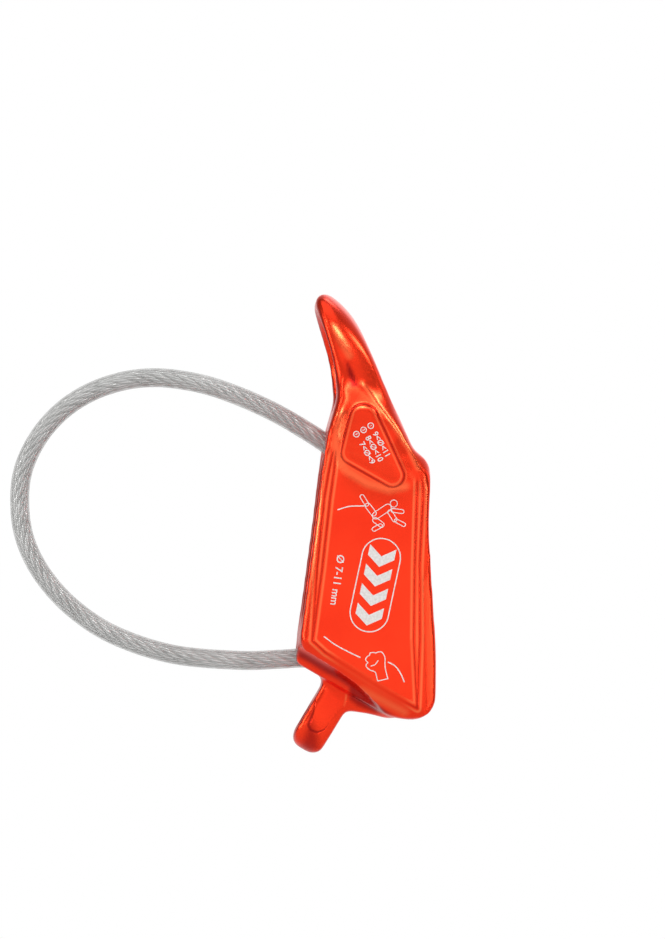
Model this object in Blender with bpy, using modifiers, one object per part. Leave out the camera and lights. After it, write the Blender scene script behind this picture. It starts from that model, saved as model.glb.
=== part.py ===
"""Guide mode belay device: a one-piece forged body and a captive keeper cable with its two crimp ferrules.

Frame: metres, +Z up as the device hangs by its ear. The origin is the centre of the attachment eye, the
mid-plane is Y = 0, and the brake side of the ropes is at +X. The ropes cross the body along a line that
falls by ROPE_TILT.
"""

import math

import bmesh
import bpy
import numpy as np
from mathutils import Matrix, Vector

MM = 0.001

# Rope direction: it falls by this angle towards +X. The eye, the slots and the release hole run along it.
ROPE_TILT = math.radians(31)

# Eye, an oval through the ear.
EYE_WIDTH = 19.0 * MM
EYE_HEIGHT = 12.5 * MM
EAR_TOP_WALL = 4.95 * MM
EAR_SIDE_WALL = 3.7 * MM
EYE_SQUARENESS = 0.8
ARCH_SQUARENESS = 0.85
ARCH_POINTS = 9

# How the eye widens towards both faces of the ear: (place along the ropes, growth) in millimetres.
EYE_ROWS_MM = [
    (-60, 1.0),
    (-4.9, 1.0),
    (-4.0, 0.45),
    (-2.8, 0.0),
    (4.6, 0.0),
    (6.0, 0.45),
    (6.9, 1.0),
    (60, 1.0),
]
EYE_PARTS = 28

# Rope slots and the walls between and beside them.
SLOT_WIDTH = 11.5 * MM
SLOT_TOP = -13.7 * MM
SLOT_BOTTOM = -40.8 * MM
SLOT_CORNER = 4.6 * MM
CENTRE_WALL = 3.5 * MM
SIDE_WALL = 3.25 * MM
MOUTH_ROUND = 2.2 * MM
MOUTH_FLARE_SIDE = 1.1 * MM
MOUTH_FLARE_END = 2.4 * MM

# Brake notch: a V cut in the slot's lower lip on the brake side.
NOTCH_WIDTH = 8.0 * MM
NOTCH_DEPTH = 2.3 * MM
NOTCH_LENGTH = 11.0 * MM
NOTCH_LIP = 0.1 * MM
NOTCH_RUN_OUT = 4.0 * MM

# Shoulders that carry the marking pads, and the flat fields below them.
SHOULDER_RISE = 1.3 * MM
FIELD_SLOPE_RUN = 1.9 * MM
FIELD_SLOPE = [(0.0, 0.0), (0.35, 0.28), (0.75, 0.62), (1.0, 1.0), (1.6, 1.25)]
SHOULDER_STEP = 1.6 * MM
CREASE = -44.1 * MM
FOOT = -48.3 * MM
FOOT_BAND_RUN = 3.1 * MM
FOOT_BAND_DROP = 2.3 * MM
FOOT_CHAMFER = 2.2 * MM
RIM_DROP = 0.7 * MM
RIM_WIDTH_BRAKE = 2.9 * MM
RIM_WIDTH_SPINE = 1.5 * MM
RIM_TOP = -16.4 * MM
RIM_FULL = -24.0 * MM
RIM_LIFT = 0.12 * MM
OUTSIDE = 6.0 * MM

# Dish round the marking pad: its soft walls, in millimetres like its rows.
DISH_WALL_RUN = 1.1
DISH_WALL_RISE = 1.3

# Scoops under the body on both sides of the lug: (u, half width, half height) in millimetres.
SCOOP_CENTRE = 12.6 * MM
SCOOP_HEIGHT = -50.2 * MM
SCOOP_ROWS_MM = [
    (5.0, 6.2, 5.0),
    (22.0, 6.2, 5.0),
    (25.5, 5.9, 4.7),
    (29.0, 5.0, 4.0),
    (32.0, 3.6, 2.9),
    (34.0, 2.2, 1.8),
]

# Marking pad: the groove's cross-section, as (across, out from the dish's floor).
PAD_GROOVE = [
    (-0.4 * MM, 0.36 * MM),
    (0.4 * MM, 0.36 * MM),
    (0.06 * MM, -0.3 * MM),
    (-0.06 * MM, -0.3 * MM),
]

# Release lug below the body.
LUG_WIDTH = 10.6 * MM
LUG_THICKNESS = 5.9 * MM
LUG_CENTRE_U = 24.95 * MM
LUG_DROP = 7.3 * MM
LUG_END_ROUND = 2.0 * MM
LUG_HOLE = 5.6 * MM
LUG_ROOT = 2.4 * MM
WEB_HALF = 4.9 * MM
WEB_REACH = 35.6 * MM
WEB_DROP = 2.7 * MM
WEB_SAG = 0.4
ROOT_OVERLAP = 0.07 * MM
LUG_SUNK = 3.1 * MM

# Keeper cable: wire rope in a sheath, ends crimped in ferrules that sit in blind bores.
CABLE_DIAMETER = 3.4 * MM
ROPE_DIAMETER = 2.4 * MM
SHEATH_CLEARANCE = 0.15 * MM
FERRULE_DIAMETER = 4.2 * MM
FERRULE_LENGTH = 7.0 * MM
FERRULE_CHAMFER = 0.4 * MM
CRIMP_CLEARANCE = 0.2 * MM
BORE_CLEARANCE = 0.15 * MM
SEAT_GAP = 0.3 * MM
TAIL_LENGTH = 3.0 * MM
SWING_SETBACK = 0.6 * MM
SWING_GAP = 0.25 * MM
FUNNEL_HALF_WIDTH = 5.0 * MM
FUNNEL_HALF_HEIGHT = 2.6 * MM
FUNNEL_LENGTH = 9.0 * MM
DRILL_POINT = 1.2 * MM
UPPER_THROAT = (-4.5 * MM, 0.0, -11.3 * MM)
LOWER_THROAT = (-5.5 * MM, 0.0, -49.4 * MM)
UPPER_BORE_FALL = math.radians(31)
LOWER_BORE_FALL = math.radians(20)

# The free loop's route in the mid-plane, from the upper throat to the lower one (x, z in millimetres).
LOOP_ROUTE_MM = [
    (-7.3, -9.4),
    (-11.0, -7.1),
    (-14.9, -4.9),
    (-20.3, -2.4),
    (-26.1, -0.3),
    (-31.6, 0.9),
    (-36.9, 1.3),
    (-42.4, 0.6),
    (-48.0, -1.4),
    (-53.0, -4.7),
    (-57.1, -9.4),
    (-59.8, -15.2),
    (-60.5, -21.2),
    (-59.5, -27.5),
    (-56.4, -33.8),
    (-51.0, -39.8),
    (-43.5, -44.7),
    (-33.1, -48.1),
    (-21.3, -49.2),
    (-14.0, -49.0),
    (-9.8, -48.8),
]

# Side view of the body as corners (x, z, corner radius) in millimetres, clockwise from the ear's tip.
SPINE_TOP_MM = (-5.9, -9.0)
SPINE_LOW_MM = (-10.8, -45.8)
BRAKE_TOP_MM = (12.45, -14.1)
BRAKE_LOW_MM = (13.4, -48.0)
SIDE_CORNERS_MM = [
    (-1.7, 14.3, 7.0),
    (9.4, -12.0, 1.5),
    (*BRAKE_TOP_MM, 3.4),
    (11.9, -26.3, 25.0),
    (*BRAKE_LOW_MM, 30.0),
    (13.1, -60.15, 4.2),
    (5.2, -59.05, 4.0),
    (-11.3, -49.45, 1.3),
    (*SPINE_LOW_MM, 3.0),
    (*SPINE_TOP_MM, 5.0),
    (-4.0, -2.3, 4.0),
    (-5.0, 4.5, 18.0),
    (-9.1, 18.5, 2.0),
]

# The lower edge of the shoulder on the side plate, from the spine edge to the brake edge (x, z in
# millimetres).
SHOULDER_EDGE_MM = [
    (-13.0, -2.0),
    (-6.0, -9.6),
    (-4.9, -14.0),
    (-3.3, -16.8),
    (0.6, -19.4),
    (4.9, -20.9),
    (8.3, -20.3),
    (11.2, -18.0),
    (17.0, -12.0),
]

# The dish in which the marking pad lies, as rows across the ropes in millimetres: height v, spine end u,
# brake end u and how far its floor lies from the mid-plane.
DISH_ROWS_MM = [
    (2.85, -3.5, -2.6, 13.35),
    (1.2, -3.9, -1.4, 12.85),
    (-1.3, -3.0, 1.6, 13.55),
    (-3.3, -2.0, 5.6, 14.65),
    (-5.4, -0.7, 9.8, 15.3),
    (-7.9, 0.4, 13.2, 15.85),
    (-10.4, 1.3, 16.7, 16.35),
    (-12.9, 2.1, 17.6, 16.8),
    (-15.4, 3.0, 17.9, 17.15),
    (-19.3, 3.7, 18.5, 17.65),
]

# How the ear flares out to the shoulder: (height v, half the body's width) in millimetres.
FLARE_MM = [
    (0.2, 13.2),
    (-1.0, 13.75),
    (-3.0, 15.2),
    (-5.0, 16.1),
    (-7.5, 16.8),
    (-10.0, 17.25),
    (-12.5, 17.5),
]

# The rounding of the body's long edges, so that the ear is an oval bar in section: (height v, reach along
# the ropes, drop of the edge) in millimetres, and the shares of the reach at which it is drawn.
EDGE_ROUND_MM = [
    (12.0, 4.3, 2.25),
    (0.5, 4.3, 2.15),
    (-4.5, 2.8, 1.8),
    (-14.0, 1.7, 1.4),
    (-43.0, 1.7, 1.2),
    (-50.0, 1.7, 0.3),
]
EDGE_ROUND_SHARES = [0.0, 0.07, 0.22, 0.45, 0.72, 1.0]
EDGE_OVERLAP = 0.05 * MM
EDGE_LAND = 0.1 * MM

# The marking pad's outline as corners (x, z, corner radius) in millimetres.
PAD_CORNERS_MM = [(-0.1, 1.15, 2.5), (9.9, -21.4, 2.05), (-3.85, -13.6, 2.2)]

ARC_STEP = math.radians(15)
CABLE_STEP = 4.2 * MM
FINE_STEP = 0.3 * MM
ROUTE_PARTS = 40
LOOP_POINT_PARTS = 6
TAIL_PARTS = 3
ROUND_PARTS = 4
RING_PARTS = 20
HOLE_PARTS = 24
LUG_END_PARTS = 14
STRAIGHT_SHARES = (0.12, 0.4, 0.7)
FAR = 60 * MM

BODY_HALF = CENTRE_WALL / 2 + SLOT_WIDTH + SIDE_WALL
SHOULDER_HALF = BODY_HALF + SHOULDER_RISE
SLOT_CENTRE = (CENTRE_WALL + SLOT_WIDTH) / 2
EAR_HALF = EYE_WIDTH / 2 + EAR_SIDE_WALL
EAR_TOP = EYE_HEIGHT / 2 + EAR_TOP_WALL

# The curve and lug planes: X, Y of a drawn outline become Y and V, with V square to the ropes.
TILT = Matrix.Rotation(ROPE_TILT, 4, "Y")
FRONT_PLANE = TILT @ Matrix(((0, 0, 1, 0), (1, 0, 0, 0), (0, 1, 0, 0), (0, 0, 0, 1)))
SIDE_PLANE = Matrix.Rotation(math.radians(90), 4, "X")


def clear_scene():
    for old in list(bpy.data.objects):
        bpy.data.objects.remove(old, do_unlink=True)


def collection(name):
    made = bpy.data.collections.new(name)
    bpy.context.scene.collection.children.link(made)
    return made


def material(name, colour, metallic, roughness, alpha=1.0):
    made = bpy.data.materials.new(name)
    made.use_nodes = True
    shader = made.node_tree.nodes["Principled BSDF"]
    shader.inputs["Base Color"].default_value = (*colour, 1.0)
    shader.inputs["Metallic"].default_value = metallic
    shader.inputs["Roughness"].default_value = roughness
    shader.inputs["Alpha"].default_value = alpha
    return made


def add_object(name, mesh, where, matrix=None):
    made = bpy.data.objects.new(name, mesh)
    if matrix is not None:
        made.matrix_world = matrix
    where.objects.link(made)
    return made


def as_cutter(made):
    made.hide_render = True
    made.display_type = "WIRE"
    return made


def shade_round(mesh):
    mesh.shade_smooth()
    mesh.set_sharp_from_angle(angle=math.radians(32))


def rope_frame(point):
    """A point (u, y, v) of the rope frame in the world."""
    return TILT @ Vector(point)


def rounded(corners):
    """A closed outline whose corners (x, y, radius) are arcs."""
    outline = []
    count = len(corners)
    for k, (x, y, radius) in enumerate(corners):
        corner = Vector((x, y))
        back = (Vector(corners[k - 1][:2]) - corner).normalized()
        ahead = (Vector(corners[(k + 1) % count][:2]) - corner).normalized()
        half = back.angle(ahead) / 2
        reach = radius / math.tan(half)
        centre = corner + (back + ahead).normalized() * radius / math.sin(half)
        start = corner + back * reach - centre
        turn = start.angle_signed(corner + ahead * reach - centre)
        steps = max(1, round(abs(turn) / ARC_STEP))
        for i in range(steps + 1):
            outline.append(tuple(centre + Matrix.Rotation(-turn * i / steps, 2) @ start))
    return outline


def scaled_corners(corners_mm):
    return [(x * MM, z * MM, radius * MM) for x, z, radius in corners_mm]


def curve_mesh(name, curve, matrix):
    """The mesh of a curve, with its caps welded to its sides."""
    holder = bpy.data.objects.new(name, curve)
    bpy.context.scene.collection.objects.link(holder)
    holder.matrix_world = matrix
    bpy.context.view_layer.update()
    evaluated = holder.evaluated_get(bpy.context.evaluated_depsgraph_get())
    mesh = bpy.data.meshes.new_from_object(evaluated)
    mesh.name = name
    shape = bmesh.new()
    shape.from_mesh(mesh)
    bmesh.ops.remove_doubles(shape, verts=shape.verts, dist=0.0005 * MM)
    bmesh.ops.recalc_face_normals(shape, faces=shape.faces)
    shape.to_mesh(mesh)
    shape.free()
    bpy.data.objects.remove(holder, do_unlink=True)
    return mesh


def plate(name, outline, half_thickness, matrix, where):
    """A flat outline extruded both ways from its plane."""
    curve = bpy.data.curves.new(name, "CURVE")
    curve.dimensions = "2D"
    curve.fill_mode = "BOTH"
    curve.extrude = half_thickness
    line = curve.splines.new("POLY")
    line.points.add(len(outline) - 1)
    for point, (x, y) in zip(line.points, outline):
        point.co = (x, y, 0.0, 1.0)
    line.use_cyclic_u = True
    return add_object(name, curve_mesh(name, curve, matrix), where, matrix)


def loft(name, rings, where):
    """A closed solid through rings of the same number of points, with flat ends."""
    shape = bmesh.new()
    made = [[shape.verts.new(point) for point in ring] for ring in rings]
    count = len(rings[0])
    for near, far in zip(made, made[1:]):
        for k in range(count):
            after = (k + 1) % count
            shape.faces.new((near[k], near[after], far[after], far[k]))
    shape.faces.new(made[0])
    shape.faces.new(made[-1])
    bmesh.ops.recalc_face_normals(shape, faces=shape.faces)
    mesh = bpy.data.meshes.new(name)
    shape.to_mesh(mesh)
    shape.free()
    return add_object(name, mesh, where)


def boolean(target, tool, operation):
    cut = target.modifiers.new(f"{operation.lower()} {tool.name}", "BOOLEAN")
    cut.operation = operation
    cut.object = tool
    cut.solver = "EXACT"


def smooth_route(points, step):
    """Points a step apart along a Catmull-Rom curve through the given ones."""
    ends = [2 * points[0] - points[1], *points, 2 * points[-1] - points[-2]]
    fine = []
    for a, b, c, d in zip(ends, ends[1:], ends[2:], ends[3:]):
        for i in range(ROUTE_PARTS):
            t = i / ROUTE_PARTS
            fine.append(
                0.5 * (2 * b + (c - a) * t + (2 * a - 5 * b + 4 * c - d) * t ** 2
                       + (3 * b - a - 3 * c + d) * t ** 3)
            )
    fine.append(points[-1])
    lengths = [0.0]
    for near, far in zip(fine, fine[1:]):
        lengths.append(lengths[-1] + (far - near).length)
    count = max(2, round(lengths[-1] / step))
    route = []
    k = 0
    for i in range(count + 1):
        wanted = lengths[-1] * i / count
        while k < len(fine) - 2 and lengths[k + 1] < wanted:
            k += 1
        share = (wanted - lengths[k]) / (lengths[k + 1] - lengths[k])
        route.append(fine[k].lerp(fine[k + 1], min(1.0, share)))
    return route


def tube_curve(name, points, radius, sides=2):
    curve = bpy.data.curves.new(name, "CURVE")
    curve.dimensions = "3D"
    curve.bevel_depth = radius
    curve.bevel_resolution = sides
    curve.use_fill_caps = True
    line = curve.splines.new("POLY")
    line.points.add(len(points) - 1)
    for point, place in zip(line.points, points):
        point.co = (*place, 1.0)
    return curve


def stretched(points, extra):
    """The same line with its ends carried on straight by the extra length."""
    first = points[0] + (points[0] - points[1]).normalized() * extra
    last = points[-1] + (points[-1] - points[-2]).normalized() * extra
    return [first, *points, last]


def tube_object(name, points, radius, where):
    mesh = curve_mesh(name, tube_curve(name, points, radius), Matrix.Identity(4))
    shade_round(mesh)
    return add_object(name, mesh, where)


def side_blank(where):
    outline = rounded(scaled_corners(SIDE_CORNERS_MM))
    return plate("side_blank", outline, SHOULDER_HALF + MM, SIDE_PLANE, where)


def front_outline():
    """The body seen along the ropes: the ear's arch, the flare to the shoulders and the straight plates."""
    arch = []
    for k in range(ARCH_POINTS):
        angle = math.pi / 2 * k / (ARCH_POINTS - 1)
        arch.append((
            EAR_HALF * math.sin(angle) ** ARCH_SQUARENESS,
            EAR_TOP * math.cos(angle) ** ARCH_SQUARENESS,
        ))
    widest = FLARE_MM[-1][1]
    flare = []
    for v, half_width in FLARE_MM:
        share = (half_width - FLARE_MM[0][1]) / (widest - FLARE_MM[0][1])
        flare.append((EAR_HALF + (SHOULDER_HALF - EAR_HALF) * share, v * MM))
    band_slope = FOOT_BAND_DROP / FOOT_BAND_RUN
    band_foot = BODY_HALF - FOOT_BAND_DROP
    foot_run = FOOT_CHAMFER / 2 + CREASE - FOOT_BAND_RUN - FOOT
    straight = [(SHOULDER_HALF, SLOT_TOP + (CREASE - SLOT_TOP) * share) for share in STRAIGHT_SHARES]
    low = [
        (SHOULDER_HALF, CREASE + SHOULDER_RISE / band_slope),
        (BODY_HALF, CREASE),
        (band_foot, CREASE - FOOT_BAND_RUN),
        (band_foot - FOOT_CHAMFER, CREASE - FOOT_BAND_RUN - foot_run),
    ]
    half = arch + flare + straight + low
    return half + [(-y, v) for y, v in reversed(half) if y > 0]


def plate_edge(edge, v):
    """How far along the ropes the side view's spine (-1) or brake (1) edge lies at height v."""
    corners = SIDE_CORNERS_MM[-6:] if edge < 0 else SIDE_CORNERS_MM[:6]
    line = sorted((rope_frame_of(corner[:2]) for corner in corners), key=lambda point: point[1])
    return float(np.interp(v, [point[1] for point in line], [point[0] for point in line]))


def front_blank(where):
    """The body seen along the ropes, drawn out between the side view's edges and rounded towards them.

    The two roundings leave a land between them, however thin the ear is there.
    """
    outline = front_outline()
    heights = [row[0] * MM for row in reversed(EDGE_ROUND_MM)]
    reaches = [row[1] * MM for row in reversed(EDGE_ROUND_MM)]
    drops = [row[2] * MM for row in reversed(EDGE_ROUND_MM)]

    def ring(edge, share, beyond):
        points = []
        sunk = 1 - math.sqrt(1 - (1 - share) ** 2)
        for k, (y, v) in enumerate(outline):
            before, after = Vector(outline[k - 1]), Vector(outline[(k + 1) % len(outline)])
            inward = -(after - before).normalized().orthogonal()
            place = Vector((y, v)) + inward * float(np.interp(v, heights, drops)) * sunk
            wall = plate_edge(1, place.y) - plate_edge(-1, place.y)
            reach = min(float(np.interp(v, heights, reaches)), (wall - EDGE_LAND) / 2) * share - beyond
            points.append(rope_frame((plate_edge(edge, place.y) - edge * reach, *place)))
        return points

    rows = [(0.0, OUTSIDE), (0.0, EDGE_OVERLAP), *((share, 0.0) for share in EDGE_ROUND_SHARES[1:])]
    spine = [ring(-1, *row) for row in rows]
    brake = [ring(1, *row) for row in reversed(rows)]
    return loft("front_blank", spine + brake, where)


def lug(where):
    """The release lug: a round-ended tongue that spreads into the body at its root."""
    radius = LUG_WIDTH / 2
    centre = FOOT - LUG_DROP
    end = [
        (radius * math.cos(angle), centre - radius * math.sin(angle))
        for angle in (math.pi * k / LUG_END_PARTS for k in range(LUG_END_PARTS + 1))
    ]
    root = FOOT + LUG_SUNK
    tongue = plate("lug_blank", [*end, (-radius, root), (radius, root)], LUG_THICKNESS, FRONT_PLANE, where)
    tongue.location += rope_frame((LUG_CENTRE_U, 0, 0))
    half = LUG_THICKNESS / 2
    low = centre - radius
    side = rounded([
        (LUG_CENTRE_U - half, root + MM, 0.2 * MM),
        (LUG_CENTRE_U + half, root + MM, 0.2 * MM),
        (LUG_CENTRE_U + half, low, LUG_END_ROUND),
        (LUG_CENTRE_U - half, low, LUG_END_ROUND),
    ])
    boolean(tongue, as_cutter(plate("lug_side", side, LUG_WIDTH, TILT @ SIDE_PLANE, where)), "INTERSECT")
    spread = half + LUG_ROOT
    rings = []
    for k in range(ROUND_PARTS + 1):
        angle = math.pi / 2 * k / ROUND_PARTS
        run = spread - (LUG_ROOT + ROOT_OVERLAP) * math.sin(angle)
        level = FOOT + LUG_ROOT / 3 - LUG_ROOT * (1 - math.cos(angle))
        width = radius - ROOT_OVERLAP + LUG_ROOT * (1 - math.sin(angle)) / 2
        rings.append([
            rope_frame((LUG_CENTRE_U + u * run, y * width, level))
            for u, y in ((-1, -1), (1, -1), (1, 1), (-1, 1))
        ])
    rings.insert(0, [point + rope_frame((0, 0, LUG_ROOT)) for point in rings[0]])
    gusset = loft("lug_root", rings, where)
    web_start = LUG_CENTRE_U + half - ROOT_OVERLAP
    web = plate("lug_web", [
        (LUG_CENTRE_U, root - ROOT_OVERLAP),
        (WEB_REACH + MM, root - ROOT_OVERLAP),
        (WEB_REACH, FOOT + ROOT_OVERLAP),
        ((web_start + WEB_REACH) / 2, FOOT - WEB_DROP * WEB_SAG),
        (web_start, FOOT - WEB_DROP),
        (LUG_CENTRE_U, FOOT - WEB_DROP),
    ], WEB_HALF, TILT @ SIDE_PLANE, where)
    return tongue, gusset, web


def eye_cutter(where):
    """The eye, an oval that opens a little at both faces of the ear."""
    rings = []
    for u, grow in EYE_ROWS_MM:
        ring = []
        for k in range(EYE_PARTS):
            angle = 2 * math.pi * k / EYE_PARTS
            across, up = math.cos(angle), math.sin(angle)
            y = (EYE_WIDTH / 2 + grow * MM) * math.copysign(abs(across) ** EYE_SQUARENESS, across)
            v = (EYE_HEIGHT / 2 + grow * MM) * math.copysign(abs(up) ** EYE_SQUARENESS, up)
            ring.append(rope_frame((u * MM, y, v)))
        rings.append(ring)
    return loft("eye_cut", rings, where)


def body_edge(side, v):
    """How far along the ropes the spine (-1) or brake (1) edge of the side plate lies at height v."""
    ends = (SPINE_TOP_MM, SPINE_LOW_MM) if side < 0 else (BRAKE_TOP_MM, BRAKE_LOW_MM)
    top, low = (rope_frame_of(end) for end in ends)
    share = (v - top[1]) / (low[1] - top[1])
    return top[0] + (low[0] - top[0]) * share


def rope_frame_of(corner_mm):
    """A corner (x, z) in millimetres as (u, v) in the rope frame."""
    x, z = corner_mm[0] * MM, corner_mm[1] * MM
    return (
        x * math.cos(ROPE_TILT) - z * math.sin(ROPE_TILT),
        x * math.sin(ROPE_TILT) + z * math.cos(ROPE_TILT),
    )


def slot_cutter(side, where):
    """One rope slot: a round-cornered opening whose mouths follow the edges and open like a trumpet."""
    centre_v = (SLOT_TOP + SLOT_BOTTOM) / 2
    half_v = (SLOT_TOP - SLOT_BOTTOM) / 2
    base = rounded([
        (x * SLOT_WIDTH / 2, y * half_v, SLOT_CORNER) for x, y in ((-1, 1), (1, 1), (1, -1), (-1, -1))
    ])

    def ring(edge, depth, flare):
        points = []
        for y, v in base:
            wide = side * SLOT_CENTRE + y * (1 + flare * MOUTH_FLARE_SIDE / (SLOT_WIDTH / 2))
            high = centre_v + v * (1 + flare * MOUTH_FLARE_END / half_v)
            points.append(rope_frame((body_edge(edge, high) - edge * depth, wide, high)))
        return points

    steps = [math.pi / 2 * k / ROUND_PARTS for k in range(ROUND_PARTS + 1)]
    spine = [ring(-1, MOUTH_ROUND * (1 - math.cos(a)), 1 - math.sin(a)) for a in steps]
    brake = [ring(1, MOUTH_ROUND * (1 - math.cos(a)), 1 - math.sin(a)) for a in reversed(steps)]
    return loft(
        f"slot_cut_{'near' if side < 0 else 'far'}",
        [ring(-1, -OUTSIDE, 1), *spine, *brake, ring(1, -OUTSIDE, 1)],
        where,
    )


def notch_cutter(side, where):
    """The V notch in the slot's lower lip, deepest at the brake edge and running out inside the slot."""
    edge = body_edge(1, SLOT_BOTTOM)
    half = NOTCH_WIDTH / 2
    over_corner = half - (SLOT_WIDTH / 2 - SLOT_CORNER)
    lip = SLOT_BOTTOM + SLOT_CORNER - math.sqrt(SLOT_CORNER ** 2 - over_corner ** 2) + NOTCH_LIP
    blunt = NOTCH_WIDTH / 9
    rings = []
    for along in (-NOTCH_LENGTH, NOTCH_RUN_OUT):
        depth = NOTCH_DEPTH * (1 + along / NOTCH_LENGTH)
        bottom = SLOT_BOTTOM - depth
        rings.append([
            rope_frame((edge + along, side * SLOT_CENTRE + y, v))
            for y, v in (
                (-half, lip + NOTCH_WIDTH), (-half, lip), (-blunt, bottom + blunt / 2), (0.0, bottom),
                (blunt, bottom + blunt / 2), (half, lip), (half, lip + NOTCH_WIDTH),
            )
        ])
    return loft(f"notch_cut_{'near' if side < 0 else 'far'}", rings, where)


def field_cutter(side, where):
    """Takes the side plate down to its flat field below the shoulder, with a sloped step round it."""
    base = [Vector((x * MM, z * MM, 0.0)) for x, z in SHOULDER_EDGE_MM]
    fine = smooth_route(base, SHOULDER_STEP)
    rings = []
    for level, rise in FIELD_SLOPE:
        edge = []
        for k, point in enumerate(fine):
            along = (fine[min(k + 1, len(fine) - 1)] - fine[max(k - 1, 0)]).normalized()
            up = Vector((-along.y, along.x, 0))
            edge.append(point + up * FIELD_SLOPE_RUN * rise)
        low = [
            Vector((edge[-1].x + OUTSIDE, -FAR * 1.4, 0)),
            Vector((edge[0].x - OUTSIDE, -FAR * 1.4, 0)),
        ]
        rings.append([
            (point.x, side * (BODY_HALF + SHOULDER_RISE * level), point.y) for point in [*edge, *low]
        ])
    return loft(f"field_cut_{'near' if side < 0 else 'far'}", rings, where)


def rim_cutter(side, edge, width, where):
    """The slope along one long edge of the side plate, from the field to the edge, fading at its top."""
    slope = RIM_DROP / width
    run = width + OUTSIDE
    rings = []
    for v, lift in ((RIM_TOP, RIM_DROP + RIM_LIFT), (RIM_FULL, 0.0), (FOOT - OUTSIDE, 0.0)):
        u = body_edge(edge, v) - edge * width
        face = BODY_HALF + lift
        rings.append([
            rope_frame((u, side * face, v)),
            rope_frame((u + edge * run, side * (face - slope * run), v)),
            rope_frame((u + edge * run, side * (BODY_HALF + OUTSIDE), v)),
            rope_frame((u, side * (BODY_HALF + OUTSIDE), v)),
        ])
    names = f"{'spine' if edge < 0 else 'brake'}_{'near' if side < 0 else 'far'}"
    return loft(f"rim_cut_{names}", rings, where)


def dish_face(v):
    """How far the dish's floor lies from the mid-plane at height v."""
    level = v / MM
    for (v0, _, _, face0), (v1, _, _, face1) in zip(DISH_ROWS_MM, DISH_ROWS_MM[1:]):
        if v1 <= level <= v0:
            return (face0 + (face1 - face0) * (v0 - level) / (v0 - v1)) * MM
    return SHOULDER_HALF


def dish_cutter(side, where):
    """Sinks the middle of the shoulder between two soft ridges, from a point on the ear down to the pad."""
    rings = []
    for v, spine, brake, face in DISH_ROWS_MM:
        rings.append([
            rope_frame((u * MM, side * y * MM, v * MM))
            for u, y in (
                (spine - DISH_WALL_RUN, face + DISH_WALL_RISE), (spine, face),
                (brake, face), (brake + DISH_WALL_RUN, face + DISH_WALL_RISE),
            )
        ])
    return loft(f"dish_cut_{'near' if side < 0 else 'far'}", rings, where)


def scoop_cutter(side, where):
    """Hollows the underside between the plate's foot and the lug, running out towards the brake edge."""
    rings = []
    for u, wide, high in SCOOP_ROWS_MM:
        rings.append([
            rope_frame((
                u * MM,
                side * (SCOOP_CENTRE + wide * MM * math.cos(a)),
                SCOOP_HEIGHT + high * MM * math.sin(a),
            ))
            for a in (2 * math.pi * k / RING_PARTS for k in range(RING_PARTS))
        ])
    return loft(f"scoop_cut_{'near' if side < 0 else 'far'}", rings, where)


def pad_groove(side, where):
    """The groove round the marking pad, sunk in the dish's floor."""
    outline = rounded(scaled_corners(PAD_CORNERS_MM))
    rings = []
    count = len(outline)
    for k, (x, z) in enumerate(outline):
        before, after = Vector(outline[k - 1]), Vector(outline[(k + 1) % count])
        across = (after - before).normalized().orthogonal()
        _, v = rope_frame_of((x / MM, z / MM))
        face = dish_face(v)
        rings.append([
            (x + across.x * wide, side * (face + deep), z + across.y * wide) for wide, deep in PAD_GROOVE
        ])
    shape = bmesh.new()
    made = [[shape.verts.new(point) for point in ring] for ring in rings]
    for k in range(count):
        for i in range(len(PAD_GROOVE)):
            shape.faces.new((made[k - 1][i], made[k - 1][i - 1], made[k][i - 1], made[k][i]))
    bmesh.ops.recalc_face_normals(shape, faces=shape.faces)
    mesh = bpy.data.meshes.new("pad_groove")
    shape.to_mesh(mesh)
    shape.free()
    return add_object(f"pad_groove_{'near' if side < 0 else 'far'}", mesh, where)


def bore_line(throat, fall):
    """The throat's place and the direction of its blind bore into the body."""
    return Vector(throat), Vector((math.cos(fall), 0.0, -math.sin(fall)))


def bore_cutter(name, throat, fall, mouth, where):
    """A blind bore with a drill point, whose mouth widens sideways so that the cable can sway."""
    place, along = bore_line(throat, fall)
    radius = FERRULE_DIAMETER / 2 + BORE_CLEARANCE
    depth = TAIL_LENGTH + FERRULE_LENGTH + 2 * SEAT_GAP
    reach = (mouth[-1] - mouth[0]).length
    stations = []
    for k in range(len(mouth) - 1, 0, -1):
        inward = (mouth[k - 1] - mouth[min(k + 1, len(mouth) - 1)]).normalized()
        share = (mouth[k] - mouth[0]).length / reach
        stations.append((
            mouth[k],
            inward,
            radius + (FUNNEL_HALF_WIDTH - radius) * share,
            radius + (FUNNEL_HALF_HEIGHT - radius) * share,
        ))
    for run, size in ((0.0, radius), (depth, radius), (depth + DRILL_POINT, DRILL_POINT / 3)):
        stations.append((place + along * run, along, size, size))
    rings = []
    for centre, inward, half_width, half_height in stations:
        up = inward.cross(Vector((0, 1, 0)))
        rings.append([
            centre + Vector((0, half_width * math.cos(a), 0)) + up * half_height * math.sin(a)
            for a in (2 * math.pi * i / RING_PARTS for i in range(RING_PARTS))
        ])
    return loft(name, rings, where)


def cable_route():
    """The whole cable's points: upper ferrule, upper throat, the loop, lower throat and lower ferrule."""
    depth = TAIL_LENGTH + FERRULE_LENGTH + SEAT_GAP
    upper, upper_in = bore_line(UPPER_THROAT, UPPER_BORE_FALL)
    lower, lower_in = bore_line(LOWER_THROAT, LOWER_BORE_FALL)
    free = [Vector((x * MM, 0.0, z * MM)) for x, z in LOOP_ROUTE_MM]
    tail_up = [upper + upper_in * depth * k / TAIL_PARTS for k in range(TAIL_PARTS, 0, -1)]
    tail_low = [lower + lower_in * depth * k / TAIL_PARTS for k in range(1, TAIL_PARTS + 1)]
    return tail_up, [upper, *free, lower], tail_low


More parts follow.
